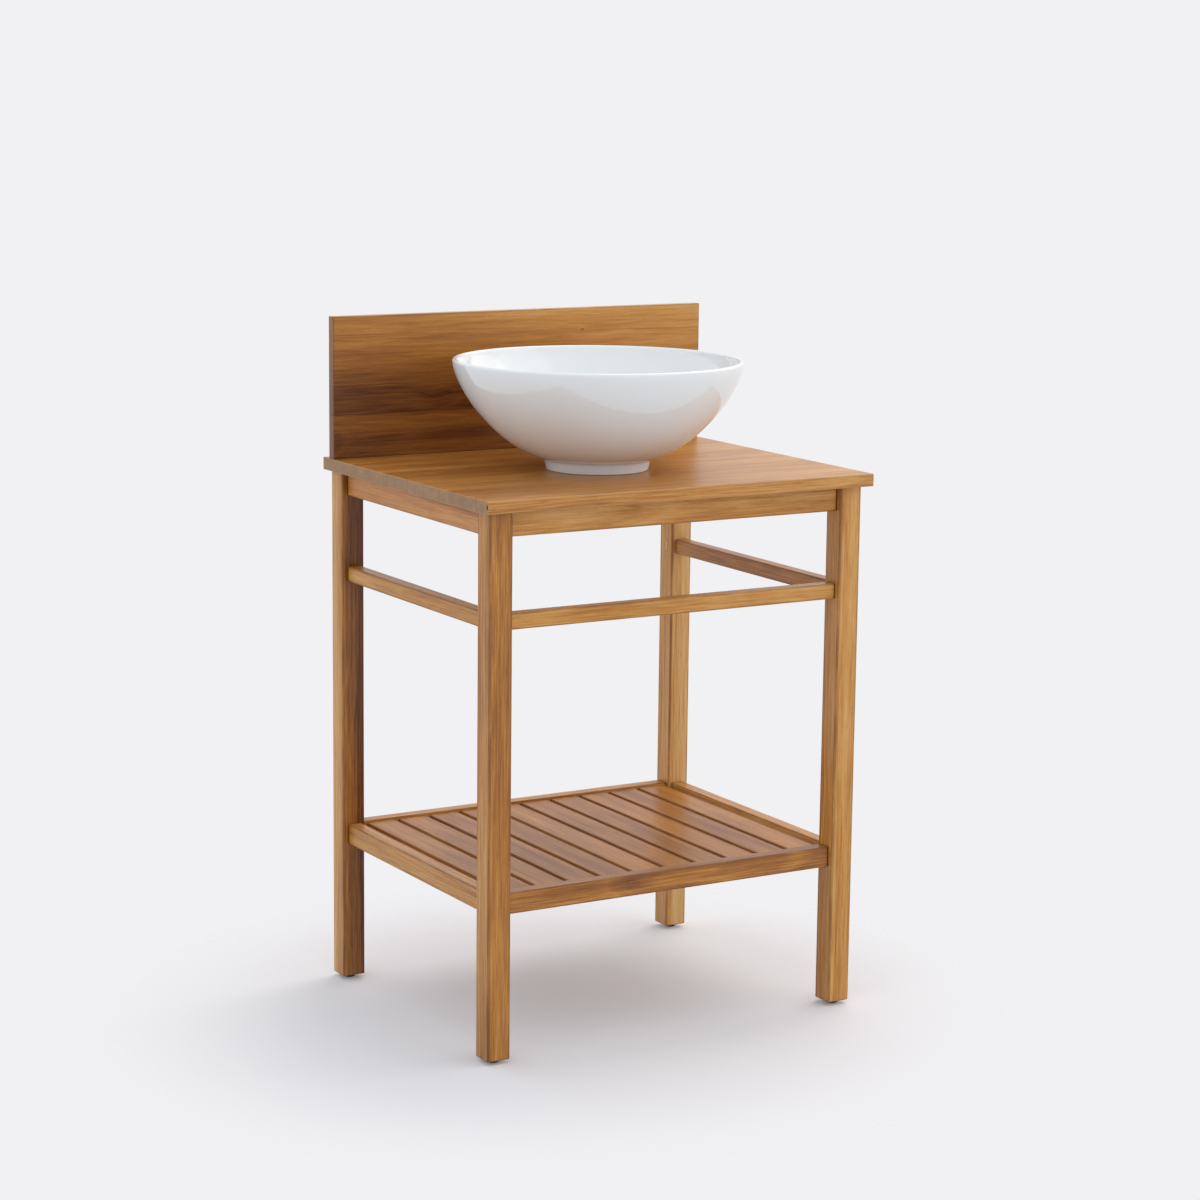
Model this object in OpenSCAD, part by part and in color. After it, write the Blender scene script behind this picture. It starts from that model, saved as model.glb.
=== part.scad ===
// Slatted hardwood vanity unit with a round vessel basin.
// Millimetres. X runs left to right, Y from front to back, Z up.
// The origin is on the floor under the middle of the worktop.

/* [Worktop] */
// Width of the worktop
top_w = 620; // [520:10:900]
// Depth of the worktop
top_d = 500; // [460:10:600]
// Thickness of the worktop
top_t = 18; // [16:1:30]
// Height of the worktop's surface above the floor
top_height = 780; // [700:10:900]
// Rounding of the worktop's long edges
top_round = 1.5; // [0.5:0.5:4]
// Overhang of the worktop past the legs, at each end
side_overhang = 11.5; // [4:0.5:20]
// Overhang of the worktop past the front legs
front_overhang = 13; // [4:1:24]
// Overhang of the worktop past the back legs
back_overhang = 3; // [0:1:12]

/* [Splashback] */
// Height of the splashback above the worktop
splash_h = 205; // [100:5:300]
// Thickness of the splashback
splash_t = 15; // [12:1:22]
// Distance from the worktop's end to the splashback's end
splash_inset = 1; // [0:1:40]
// Distance from the worktop's back edge to the splashback's back
splash_setback = 18; // [0:1:60]
// Rounding of the splashback's long edges
splash_round = 1; // [0.5:0.5:4]

/* [Legs] */
// Width of the square legs
leg_w = 35; // [31:1:44]
// Rounding of the legs' edges
leg_round = 2.5; // [0.5:0.5:5]

/* [Rails] */
// Thickness of every rail and apron
rail_t = 20; // [16:1:22]
// Distance from a leg's outer face to the rail's outer face
rail_setback = 9; // [4:1:10]
// Rounding of the rails' long edges
rail_round = 1.5; // [0.5:0.5:4]
// Height of the aprons under the worktop
apron_h = 35; // [30:1:70]
// Height of the towel rails
towel_rail_h = 22; // [18:1:40]
// Height of the towel rails' underside above the floor
towel_rail_z = 601; // [560:1:620]
// Height of the shelf rails
shelf_rail_h = 30; // [28:1:50]
// Height of the shelf rails' underside above the floor
shelf_rail_z = 208; // [120:1:300]

/* [Joinery] */
// Thickness of the tenons
tenon_t = 7.5; // [4:0.5:8]
// Shoulder above and below each tenon
tenon_shoulder = 2; // [1.5:0.5:6]
// Play round a tenon, screw or insert in its hole
fit = 0.05; // [0.03:0.01:0.1]
// Play at the bottom of a mortise or screw hole
end_play = 0.5; // [0.3:0.1:1]

/* [Shelf] */
// Gap between two slats
slat_gap = 7; // [4:0.5:14]
// Gap between the outer slats and the line of the legs' inner faces
slat_side_gap = 7; // [1:1:14]
// Thickness of the slats
slat_t = 12; // [10:1:14]
// Distance of the slats' tops below the rails' tops
slat_drop = 3; // [0:0.5:4]
// Play at each end of a slat
slat_end_gap = 0.5; // [0.3:0.1:1.5]
// Rounding of the slats' edges
slat_round = 1.5; // [0.5:0.5:3]
// Width of the cleats under the slats' ends
cleat_w = 16; // [12:1:30]
// Height of the cleats
cleat_h = 12; // [10:1:13]

/* [Screws and brackets] */
// Diameter of the slat, cleat and bracket screws
screw_d = 3.5; // [3:0.5:4]
// Diameter of the splashback's screws
splash_screw_d = 4.5; // [4:0.5:5]
// Depth that a slat screw bites into its slat
slat_bite = 8; // [5:0.5:9]
// Depth that a cleat or bracket screw bites into wood
screw_bite = 12; // [8:1:14]
// Depth that a splashback screw bites into the splashback
splash_bite = 27; // [15:1:50]
// Width of the steel angle brackets
bracket_w = 20; // [16:1:40]
// Length of each leg of a bracket
bracket_l = 25; // [20:1:28]
// Thickness of the bracket's steel
bracket_t = 2; // [1.5:0.5:3]
// Distance of the brackets from the middle of the worktop
bracket_x = 150; // [60:5:180]

/* [Feet] */
// Height of the leg ends above the floor, which the glides take up
glide_h = 6; // [5:0.5:12]
// Diameter of the glide pads
pad_d = 19; // [14:1:28]
// Diameter of the glides' threaded studs
stud_d = 6; // [5:1:8]
// Length of a stud inside its leg
stud_l = 28; // [22:1:34]
// Wall of the threaded insert round a stud
insert_wall = 1.9; // [1.5:0.1:2.5]
// Length of the threaded insert
insert_l = 14; // [10:1:20]
// Gap between a pad and its leg when screwed right in
pad_gap = 0.3; // [0.3:0.1:0.6]

/* [Basin] */
// Diameter of the basin at the rim
basin_d = 412; // [340:2:420]
// Height of the basin above the worktop
basin_h = 156; // [120:1:180]
// Thickness of the basin's wall
basin_wall = 7; // [6:0.5:12]
// Diameter of the foot ring
foot_d = 150; // [130:2:180]
// Height of the foot ring
foot_h = 15; // [12:1:20]
// Thickness of the foot ring's wall
foot_wall = 10; // [8:1:14]
// Depth of the hollow inside the foot ring
foot_hollow = 12; // [8:1:12]
// Fullness of the basin's side, where 1 is a cone and 2 an ellipse
basin_curve = 1.5; // [1.3:0.05:2.2]
// Place of the basin to the right of the worktop's middle
basin_x = -16; // [-60:1:60]
// Place of the basin behind the worktop's middle
basin_y = -33; // [-40:1:0]

/* [Waste] */
// Outside diameter of the threaded waste tail
tail_d = 41.9; // [40:0.1:44]
// Wall of the waste tail
tail_wall = 2; // [1.5:0.1:3]
// Length of the tail below the worktop
tail_below = 62; // [40:1:90]
// Play between the tail and the drain holes
drain_play = 1.5; // [1:0.5:4]
// Width of the groove that ends the tail's lower thread
relief_w = 2; // [1:0.5:4]
// Depth of that groove
relief_t = 0.6; // [0.4:0.1:1]
// Thickening of the tail's wall round the plug's cartridge
seat_wall = 1; // [0.5:0.5:2]
// Width of the waste flange past the tail
flange_lip = 11; // [8:0.5:14]
// Thickness of the waste flange
flange_t = 2.5; // [2:0.1:4]
// Thickness of the gasket under the flange
gasket_t = 1.5; // [1:0.5:4]
// Thickness of the rubber washer under the worktop
rubber_t = 3; // [2:0.5:5]
// Thickness of the metal washer
washer_t = 1.5; // [1:0.5:3]
// Width of the washers past the tail
washer_lip = 9; // [6:1:14]
// Height of the back nut
nut_h = 9; // [6:1:14]
// Width of the back nut across its flats
nut_af = 54; // [52:1:60]

/* [Drain plug] */
// Diameter of the plug's cap
plug_d = 60; // [50:1:64]
// Height of the plug's domed cap
plug_h = 5; // [3:0.5:8]
// Diameter of the plug's neck
neck_d = 32; // [24:1:34]
// Diameter of the plug's stem
stem_d = 6; // [5:0.5:8]
// Outside diameter of the cartridge that the stem slides in
cartridge_d = 14; // [12:1:16]
// Height of the cartridge
cartridge_h = 16; // [12:1:20]
// Width of the seal ring round the neck
seal_w = 4.2; // [2:0.1:4.2]
// Height of the seal ring
seal_h = 2; // [1.5:0.1:2.5]

/* [Hidden] */

wood = "#B97F45";
dark_wood = "#A06A38";
top_wood = "#B5803F";
steel = "#B9BBBD";
chrome = "#D5D8DB";
brass = "#B99A50";
glaze = "#F3F4F4";
black = "#26231F";
rubber = "#2C2C2D";

past = 1;                // how far a cutting shape runs past a face
slat_count = 10;
corners = [["front_left", -1, -1], ["front_right", 1, -1],
    ["back_left", -1, 1], ["back_right", 1, 1]];

// Frame
top_under = top_height - top_t;
frame_w = top_w - 2 * side_overhang;
frame_front = -top_d / 2 + front_overhang;
frame_back = top_d / 2 - back_overhang;
leg_h = top_under - glide_h;
rail_line = rail_setback + rail_t / 2;            // leg's outer face to rail's middle
rail_x = frame_w / 2 - rail_line;
rail_front_y = frame_front + rail_line;
rail_back_y = frame_back - rail_line;
long_rail = frame_w - 2 * leg_w;
side_rail = frame_back - frame_front - 2 * leg_w;
side_mid_y = (frame_front + frame_back) / 2;
apron_z = top_under - apron_h;
rail_levels = [[apron_z, apron_h], [towel_rail_z, towel_rail_h], [shelf_rail_z, shelf_rail_h]];

// Joinery: two tenons meet in a leg, so each is cut off at 45 degrees
tenon_mid = leg_w - rail_line;                    // length on the tenon's middle line
mitre_gap = 0.4;
mortise_depth = tenon_mid + tenon_t / 2 + end_play;
plug_l = tenon_mid - tenon_t / 2 - mitre_gap;

// Shelf
inner_front = rail_front_y + rail_t / 2;
inner_back = rail_back_y - rail_t / 2;
slat_pitch = (long_rail - 2 * slat_side_gap + slat_gap) / slat_count;
slat_w = slat_pitch - slat_gap;
slat_l = inner_back - inner_front - 2 * slat_end_gap;
slat_top = shelf_rail_z + shelf_rail_h - slat_drop;
slat_under = slat_top - slat_t;
cleat_l = slat_pitch * slat_count - slat_gap;
cleat_front_y = inner_front + cleat_w / 2;
cleat_back_y = inner_back - cleat_w / 2;
cleat_screw_x = [-4, -1, 1, 4] * slat_pitch;      // under the gaps between slats

// Screws
csk_ratio = 2;                                    // screw head to shank diameter
head_sink = 0.2;                                  // a countersunk head below its surface
pan_h = 2.2;
splash_y = top_d / 2 - splash_setback - splash_t / 2;
splash_l = top_w - 2 * splash_inset;
splash_screw_x = [-3, -1, 1, 3] * splash_l / 8;
bracket_hole = 12;                                // corner to screw, on each leg

// Basin, heights above the worktop
profile_steps = 22;
rim_steps = 8;
foot_edge = 2;
outer_base = foot_d / 2 - foot_edge;
floor_lip = 1;                                    // flat floor past the flange
side_top = basin_h - basin_wall / 2;
drain_r = tail_d / 2 + drain_play;
floor_h = foot_h + basin_wall - 1;                // at the drain, a little below the sides
flange_r = tail_d / 2 + flange_lip;
flange_under = floor_h + gasket_t;
flange_top = flange_under + flange_t;
flange_edge = 1;
tail_r = tail_d / 2;
mouth_r = tail_r + flange_edge;
bore_r = tail_r - tail_wall;
seat_r = bore_r - seat_wall;
tail_bottom = -top_t - tail_below;
nut_bottom = -top_t - rubber_t - washer_t - nut_h;
relief_gap = 1.5;                                 // nut to the groove under it
relief_top = nut_bottom - relief_gap;
mouth_depth = 4;
plug_gap = 0.3;
cap_under = flange_top + plug_gap;
cartridge_top = 12;
cartridge_rim = 3;                                // rim that rests on the hub
hub_wall = 2.5;
hub_h = 8;
hub_top = cartridge_top - cartridge_rim;
stem_past = 4;                                    // stem below the cartridge
stem_bottom = cartridge_top - cartridge_h - stem_past;
seat_bottom = stem_bottom - stem_past / 2;
rib_t = 2.5;
basin_at = [basin_x, basin_y, top_height];

// A rectangle with true round corners, centred
module round_rect(w, h, r) {
    square([w - 2 * r, h], center = true);
    square([w, h - 2 * r], center = true);
    for (x = [-1, 1], y = [-1, 1])
        translate([x * (w / 2 - r), y * (h / 2 - r)])
            circle(r, $fn = 24);
}

// A slot shape with round ends, standing up along Y
module stadium(w, h) {
    square([w, h - w], center = true);
    for (y = [-1, 1])
        translate([0, y * (h - w) / 2])
            circle(w / 2, $fn = 24);
}

// A straight board along X with round long edges, its middle at the origin
module board(l, w, h, r) {
    rotate([90, 0, 90])
        linear_extrude(l, center = true)
            round_rect(w, h, r);
}

// A tenon or mortise shape along X, starting at the origin
module tenon_bar(l, w, h) {
    rotate([90, 0, 90])
        linear_extrude(l)
            stadium(w, h);
}

// A tenon at a rail's right end, cut at 45 degrees where its neighbour meets it
module mitred_tenon(rail_h) {
    reach = tenon_mid + tenon_t;
    difference() {
        tenon_bar(reach, tenon_t, rail_h - 2 * tenon_shoulder);
        translate([tenon_mid - mitre_gap, 0, 0])
            rotate([0, 0, 45])
                translate([0, -leg_w, -rail_h])
                    cube([2 * leg_w, 2 * leg_w, 2 * rail_h]);
    }
}

// A rail along X with a tenon at each end, its outer face towards -Y
module rail(l, h) {
    board(l, rail_t, h, rail_round);
    translate([l / 2, 0, 0])
        mitred_tenon(h);
    mirror([1, 0, 0])
        translate([l / 2, 0, 0])
            mitred_tenon(h);
}

// Clearance hole for a screw that points up, its head at the origin
module screw_hole(d, l) {
    translate([0, 0, -past])
        cylinder(d = d + 2 * fit, h = l + end_play + past, $fn = 24);
}

// Countersunk mouth for a screw that points up
module csk_mouth(d) {
    head_r = d * csk_ratio / 2;
    mouth_r = head_r + head_sink + fit;
    translate([0, 0, -past])
        cylinder(r = mouth_r, h = past, $fn = 24);
    cylinder(r1 = mouth_r, r2 = d / 2 + fit, h = mouth_r - d / 2 - fit, $fn = 24);
}

// Countersunk screw that points up, its head just below the surface at the origin
module csk_screw(d, l) {
    head_r = d * csk_ratio / 2;
    rotate_extrude($fn = 24)
        polygon([[0, head_sink], [head_r, head_sink], [d / 2, head_sink + head_r - d / 2],
            [d / 2, l - d], [0, l]]);
}

// Pan-head screw that points up, the underside of its head at the origin
module pan_screw(d, l) {
    rotate_extrude($fn = 24)
        polygon([[0, -pan_h], [d * 0.6, -pan_h], [d, -pan_h / 2], [d, 0],
            [d / 2, 0], [d / 2, l - d], [0, l]]);
}

// Places of the slat screws, one near each end of each slat
module at_slat_screws() {
    for (i = [1 : slat_count], y = [cleat_front_y, cleat_back_y])
        translate([slat_x(i), y, slat_under - cleat_h])
            children();
}

// Places of one cleat's screws, seen from the cleat's inner face, pointing +Y
module at_cleat_screws() {
    for (x = cleat_screw_x)
        translate([x, 0, slat_under - cleat_h / 2])
            rotate([-90, 0, 0])
                children();
}

// Places of the brackets, each turned so that it faces its apron
module at_brackets() {
    for (x = [-1, 1]) {
        translate([x * bracket_x, inner_front, top_under])
            children();
        translate([x * bracket_x, inner_back, top_under])
            rotate([0, 0, 180])
                children();
    }
}

// Screws of one bracket: one into the apron, one up into the worktop
module at_bracket_screws() {
    translate([0, bracket_t, -bracket_hole])
        rotate([90, 0, 0])
            children();
    translate([0, bracket_hole, -bracket_t])
        children();
}

function slat_x(i) = (i - (slat_count + 1) / 2) * slat_pitch;

// Side of the basin: k runs from 0 at the foot to 1 at the rim
function side_r(k) = outer_base
    + (basin_d / 2 - outer_base) * pow(1 - pow(1 - k, basin_curve), 1 / basin_curve);
function side_point(k) = [side_r(k), foot_h + (side_top - foot_h) * k];
function side_normal(k) =
    let (a = side_point(max(0, k - 0.002)), b = side_point(min(1, k + 0.002)), v = b - a)
    [v[1], -v[0]] / norm(v);
// Points bunch near the foot, where the side turns quickest
function step_k(i) = pow(i / profile_steps, 2);

module worktop() {
    color(top_wood)
        difference() {
            translate([0, 0, top_height - top_t / 2])
                board(top_w, top_d, top_t, top_round);
            translate([basin_x, basin_y, top_under - past])
                cylinder(r = drain_r, h = top_t + 2 * past, $fn = 64);
            for (x = splash_screw_x)
                translate([x, splash_y, top_under]) {
                    screw_hole(splash_screw_d, top_t + past);
                    csk_mouth(splash_screw_d);
                }
            at_brackets()
                translate([0, bracket_hole, 0])
                    screw_hole(screw_d, screw_bite);
        }
}

module splashback() {
    color(wood)
        difference() {
            translate([0, splash_y, top_height + splash_h / 2])
                board(splash_l, splash_t, splash_h, splash_round);
            for (x = splash_screw_x)
                translate([x, splash_y, top_height])
                    screw_hole(splash_screw_d, splash_bite);
        }
}

module splashback_screws() {
    color(steel)
        for (x = splash_screw_x)
            translate([x, splash_y, top_under])
                csk_screw(splash_screw_d, top_t + splash_bite);
}

// A leg with mortises for the rails at its two inner faces
module leg(sx, sy) {
    y = sy < 0 ? frame_front + leg_w / 2 : frame_back - leg_w / 2;
    color(wood)
        translate([sx * (frame_w / 2 - leg_w / 2), y, glide_h])
            mirror([sx > 0 ? 1 : 0, 0, 0])
                mirror([0, sy > 0 ? 1 : 0, 0])
                    front_left_leg();
}

module front_left_leg() {
    off = rail_line - leg_w / 2;
    difference() {
        linear_extrude(leg_h)
            round_rect(leg_w, leg_w, leg_round);
        for (level = rail_levels)
            translate([0, 0, level[0] + level[1] / 2 - glide_h]) {
                mortise_h = level[1] - 2 * tenon_shoulder + 2 * fit;
                translate([leg_w / 2 - mortise_depth, off, 0])
                    tenon_bar(mortise_depth + past, tenon_t + 2 * fit, mortise_h);
                translate([off, leg_w / 2 - mortise_depth, 0])
                    rotate([0, 0, 90])
                        tenon_bar(mortise_depth + past, tenon_t + 2 * fit, mortise_h);
            }
        translate([0, 0, -past])
            cylinder(d = stud_d + 2 * insert_wall + 2 * fit, h = insert_l + end_play + past, $fn = 48);
        translate([0, 0, -past])
            cylinder(d = stud_d + 2 * fit, h = stud_l + end_play + past, $fn = 48);
    }
}

module long_rail_at(y, z, h, turn) {
    color(wood)
        translate([0, y, z + h / 2])
            rotate([0, 0, turn])
                rail(long_rail, h);
}

module side_rail_at(x, z, h, turn) {
    color(wood)
        translate([x, side_mid_y, z + h / 2])
            rotate([0, 0, turn])
                rail(side_rail, h);
}

// A long apron, drilled on its inner face for the bracket screws
module long_apron(y, turn) {
    color(wood)
        difference() {
            translate([0, y, apron_z + apron_h / 2])
                rotate([0, 0, turn])
                    rail(long_rail, apron_h);
            at_brackets()
                translate([0, 0, -bracket_hole])
                    rotate([90, 0, 0])
                        screw_hole(screw_d, screw_bite);
        }
}

// A long shelf rail, drilled on its inner face for the cleat's screws
module long_shelf_rail(y, turn) {
    color(wood)
        translate([0, y, 0])
            rotate([0, 0, turn])
                difference() {
                    translate([0, 0, shelf_rail_z + shelf_rail_h / 2])
                        rail(long_rail, shelf_rail_h);
                    translate([0, rail_t / 2, 0])
                        rotate([0, 0, 180])
                            at_cleat_screws()
                                screw_hole(screw_d, screw_bite);
                }
}

module slat(i) {
    color(dark_wood)
        difference() {
            translate([slat_x(i), (inner_front + inner_back) / 2, slat_top - slat_t / 2])
                rotate([0, 0, 90])
                    board(slat_l, slat_w, slat_t, slat_round);
            for (y = [cleat_front_y, cleat_back_y])
                translate([slat_x(i), y, slat_under])
                    screw_hole(screw_d, slat_bite);
        }
}

// A cleat on the inner face of a long shelf rail, its rail towards -Y
module cleat(y, turn) {
    color(dark_wood)
        difference() {
            translate([0, y, slat_under - cleat_h / 2])
                board(cleat_l, cleat_w, cleat_h, rail_round);
            translate([0, y, 0])
                rotate([0, 0, turn])
                    translate([0, cleat_w / 2, 0])
                        rotate([0, 0, 180])
                            at_cleat_screws() {
                                screw_hole(screw_d, cleat_w + past);
                                csk_mouth(screw_d);
                            }
            at_slat_screws() {
                screw_hole(screw_d, cleat_h + past);
                csk_mouth(screw_d);
            }
        }
}

module cleat_screws() {
    color(steel) {
        translate([0, inner_front + cleat_w, 0])
            rotate([0, 0, 180])
                at_cleat_screws()
                    csk_screw(screw_d, cleat_w + screw_bite);
        translate([0, inner_back - cleat_w, 0])
            at_cleat_screws()
                csk_screw(screw_d, cleat_w + screw_bite);
    }
}

module slat_screws() {
    color(steel)
        at_slat_screws()
            csk_screw(screw_d, cleat_h + slat_bite);
}

module top_brackets() {
    color(steel)
        at_brackets()
            difference() {
                translate([-bracket_w / 2, 0, -bracket_l])
                    difference() {
                        cube([bracket_w, bracket_l, bracket_l]);
                        translate([-past, bracket_t, -past])
                            cube([bracket_w + 2 * past, bracket_l, bracket_l - bracket_t + past]);
                    }
                translate([0, bracket_t + past, -bracket_hole])
                    rotate([90, 0, 0])
                        cylinder(d = screw_d + 2 * fit, h = bracket_t + 2 * past, $fn = 24);
                translate([0, bracket_hole, -bracket_t - past])
                    cylinder(d = screw_d + 2 * fit, h = bracket_t + 2 * past, $fn = 24);
            }
}

module bracket_screws() {
    color(steel)
        at_brackets()
            at_bracket_screws()
                pan_screw(screw_d, bracket_t + screw_bite);
}

// Wooden fillings of the towel-rail mortises that the back legs don't use
module mortise_plugs() {
    color(dark_wood)
        for (x = [-1, 1])
            translate([x * (frame_w / 2 - leg_w + plug_l / 2), rail_back_y, towel_rail_z + towel_rail_h / 2])
                translate([-plug_l / 2, 0, 0])
                    tenon_bar(plug_l, tenon_t, towel_rail_h - 2 * tenon_shoulder);
}

module at_leg(sx, sy) {
    y = sy < 0 ? frame_front + leg_w / 2 : frame_back - leg_w / 2;
    translate([sx * (frame_w / 2 - leg_w / 2), y, 0])
        children();
}

module leg_inserts() {
    color(brass)
        for (c = corners)
            at_leg(c[1], c[2])
                translate([0, 0, glide_h + end_play])
                    difference() {
                        cylinder(d = stud_d + 2 * insert_wall, h = insert_l - end_play, $fn = 48);
                        translate([0, 0, -past])
                            cylinder(d = stud_d + 2 * fit, h = insert_l + past, $fn = 48);
                    }
}

module glide_pad(sx, sy) {
    h = glide_h - pad_gap;
    r = pad_d / 2;
    edge = h * 0.7;
    color(black)
        at_leg(sx, sy)
            rotate_extrude($fn = 48)
                polygon(concat([[0, 0]],
                    [for (a = [0 : 15 : 90]) [r - edge + edge * sin(a), edge - edge * cos(a)]],
                    [[r, h], [0, h]]));
}

module glide_stud(sx, sy) {
    color(steel)
        at_leg(sx, sy)
            translate([0, 0, glide_h - pad_gap])
                cylinder(d = stud_d, h = stud_l, $fn = 48);
}

module basin() {
    outer = [for (i = [0 : profile_steps]) side_point(step_k(i))];
    inner = [for (i = [profile_steps : -1 : 0])
        side_point(step_k(i)) - basin_wall * side_normal(step_k(i))];
    rim = [for (i = [1 : rim_steps - 1])
        [basin_d / 2 - basin_wall / 2 + basin_wall / 2 * cos(180 * i / rim_steps),
            side_top + basin_wall / 2 * sin(180 * i / rim_steps)]];
    ring = [[foot_d / 2 - foot_wall, foot_hollow], [foot_d / 2 - foot_wall, 0],
        [foot_d / 2 - foot_edge, 0], [foot_d / 2, foot_edge]];
    color(glaze)
        translate(basin_at)
            rotate_extrude($fn = 128)
                polygon(concat([[drain_r, floor_h], [drain_r, foot_hollow]],
                    ring, outer, rim, inner, [[flange_r + floor_lip, floor_h]]));
}

module waste_body() {
    color(chrome)
        translate(basin_at) {
            rotate_extrude($fn = 64)
                polygon([[bore_r, tail_bottom], [tail_r, tail_bottom],
                    [tail_r, relief_top - relief_w], [tail_r - relief_t, relief_top - relief_w],
                    [tail_r - relief_t, relief_top], [tail_r, relief_top], [tail_r, flange_under],
                    [flange_r, flange_under], [flange_r, flange_top - flange_edge],
                    [flange_r - flange_edge, flange_top], [mouth_r, flange_top],
                    [bore_r, flange_top - mouth_depth], [bore_r, hub_top + seat_wall],
                    [seat_r, hub_top], [seat_r, seat_bottom], [bore_r, seat_bottom]]);
            difference() {
                union() {
                    translate([0, 0, hub_top - hub_h])
                        cylinder(r = cartridge_d / 2 + hub_wall, h = hub_h, $fn = 48);
                    for (a = [0, 120, 240])
                        rotate([0, 0, a])
                            translate([0, -rib_t / 2, hub_top - hub_h])
                                cube([bore_r + tail_wall / 2, rib_t, hub_h]);
                }
                translate([0, 0, hub_top - hub_h - past])
                    cylinder(r = cartridge_d / 2 + fit, h = hub_h + 2 * past, $fn = 48);
            }
        }
}

// A flat ring round the waste tail
module tail_ring(r, h, z) {
    translate([basin_x, basin_y, z])
        difference() {
            cylinder(r = r, h = h, $fn = 64);
            translate([0, 0, -past])
                cylinder(r = tail_r + fit, h = h + 2 * past, $fn = 64);
        }
}

module waste_gasket() {
    color(rubber)
        tail_ring(flange_r - flange_edge, gasket_t, top_height + floor_h);
}

module waste_rubber_washer() {
    color(rubber)
        tail_ring(tail_r + washer_lip, rubber_t, top_under - rubber_t);
}

module waste_metal_washer() {
    color(steel)
        tail_ring(tail_r + washer_lip, washer_t, top_under - rubber_t - washer_t);
}

module waste_nut() {
    color(chrome)
        translate([basin_x, basin_y, top_height + nut_bottom])
            difference() {
                cylinder(r = nut_af / sqrt(3), h = nut_h, $fn = 6);
                translate([0, 0, -past])
                    cylinder(r = tail_r + fit, h = nut_h + 2 * past, $fn = 64);
            }
}

module plug_cartridge() {
    color(black)
        translate(basin_at)
            translate([0, 0, cartridge_top - cartridge_h])
                difference() {
                    union() {
                        cylinder(d = cartridge_d, h = cartridge_h, $fn = 48);
                        translate([0, 0, cartridge_h - cartridge_rim])
                            cylinder(r = cartridge_d / 2 + hub_wall, h = cartridge_rim, $fn = 48);
                    }
                    translate([0, 0, -past])
                        cylinder(d = stem_d + 2 * fit, h = cartridge_h + 2 * past, $fn = 48);
                }
}

module drain_plug() {
    r = plug_d / 2;
    edge = 1.5;
    dome = [for (i = [0 : 8]) [r * cos(i * 90 / 8), cap_under + edge + (plug_h - edge) * sin(i * 90 / 8)]];
    color(chrome)
        translate(basin_at)
            rotate_extrude($fn = 64)
                polygon(concat([[0, stem_bottom], [stem_d / 2, stem_bottom], [stem_d / 2, cap_under - seal_h],
                    [neck_d / 2, cap_under - seal_h], [neck_d / 2, cap_under], [r - 0.5, cap_under],
                    [r, cap_under + 0.5]], dome));
}

module plug_seal() {
    color(rubber)
        translate(basin_at)
            translate([0, 0, cap_under - seal_h])
                difference() {
                    cylinder(r = neck_d / 2 + seal_w, h = seal_h, $fn = 64);
                    translate([0, 0, -past])
                        cylinder(d = neck_d + 2 * fit, h = seal_h + 2 * past, $fn = 64);
                }
}

worktop();
splashback();
splashback_screws();
for (c = corners) {
    leg(c[1], c[2]);
    glide_pad(c[1], c[2]);
    glide_stud(c[1], c[2]);
}
long_apron(rail_front_y, 0);  // apron_front
long_apron(rail_back_y, 180);  // apron_back
side_rail_at(-rail_x, apron_z, apron_h, -90);  // apron_left
side_rail_at(rail_x, apron_z, apron_h, 90);  // apron_right
long_rail_at(rail_front_y, towel_rail_z, towel_rail_h, 0);  // towel_rail_front
side_rail_at(-rail_x, towel_rail_z, towel_rail_h, -90);  // towel_rail_left
side_rail_at(rail_x, towel_rail_z, towel_rail_h, 90);  // towel_rail_right
long_shelf_rail(rail_front_y, 0);  // shelf_rail_front
long_shelf_rail(rail_back_y, 180);  // shelf_rail_back
side_rail_at(-rail_x, shelf_rail_z, shelf_rail_h, -90);  // shelf_rail_left
side_rail_at(rail_x, shelf_rail_z, shelf_rail_h, 90);  // shelf_rail_right
for (i = [1 : slat_count])
    slat(i);
cleat(cleat_front_y, 0);  // cleat_front
cleat(cleat_back_y, 180);  // cleat_back
cleat_screws();
slat_screws();
top_brackets();
bracket_screws();
mortise_plugs();
leg_inserts();
basin();
waste_body();
waste_gasket();
waste_rubber_washer();
waste_metal_washer();
waste_nut();
plug_cartridge();
drain_plug();
plug_seal();
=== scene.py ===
import math
from functools import partial

import bmesh
import bpy
from mathutils import Matrix, Vector


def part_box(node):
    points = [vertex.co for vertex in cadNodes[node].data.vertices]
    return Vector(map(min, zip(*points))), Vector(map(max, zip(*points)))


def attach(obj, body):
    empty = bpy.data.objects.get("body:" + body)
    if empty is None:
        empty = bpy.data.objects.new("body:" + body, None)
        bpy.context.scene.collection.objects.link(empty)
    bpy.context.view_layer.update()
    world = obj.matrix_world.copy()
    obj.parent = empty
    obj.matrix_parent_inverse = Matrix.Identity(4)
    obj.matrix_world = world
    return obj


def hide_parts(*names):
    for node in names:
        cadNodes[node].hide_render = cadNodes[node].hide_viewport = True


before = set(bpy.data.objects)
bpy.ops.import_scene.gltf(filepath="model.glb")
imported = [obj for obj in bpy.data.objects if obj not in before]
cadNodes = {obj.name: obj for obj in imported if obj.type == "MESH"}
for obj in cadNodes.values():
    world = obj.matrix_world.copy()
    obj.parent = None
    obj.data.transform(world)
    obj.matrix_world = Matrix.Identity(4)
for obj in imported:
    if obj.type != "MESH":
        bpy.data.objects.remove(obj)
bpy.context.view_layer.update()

# Oiled hardwood vanity unit with a glazed vessel basin. Blender units are metres; sizes here are millimetres.
mm = 0.001
xAxis, yAxis, zAxis = Vector((1, 0, 0)), Vector((0, 1, 0)), Vector((0, 0, 1))
corners = ("front_left", "front_right", "back_left", "back_right")
print("frame loaded,", len(cadNodes), "nodes")


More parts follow.
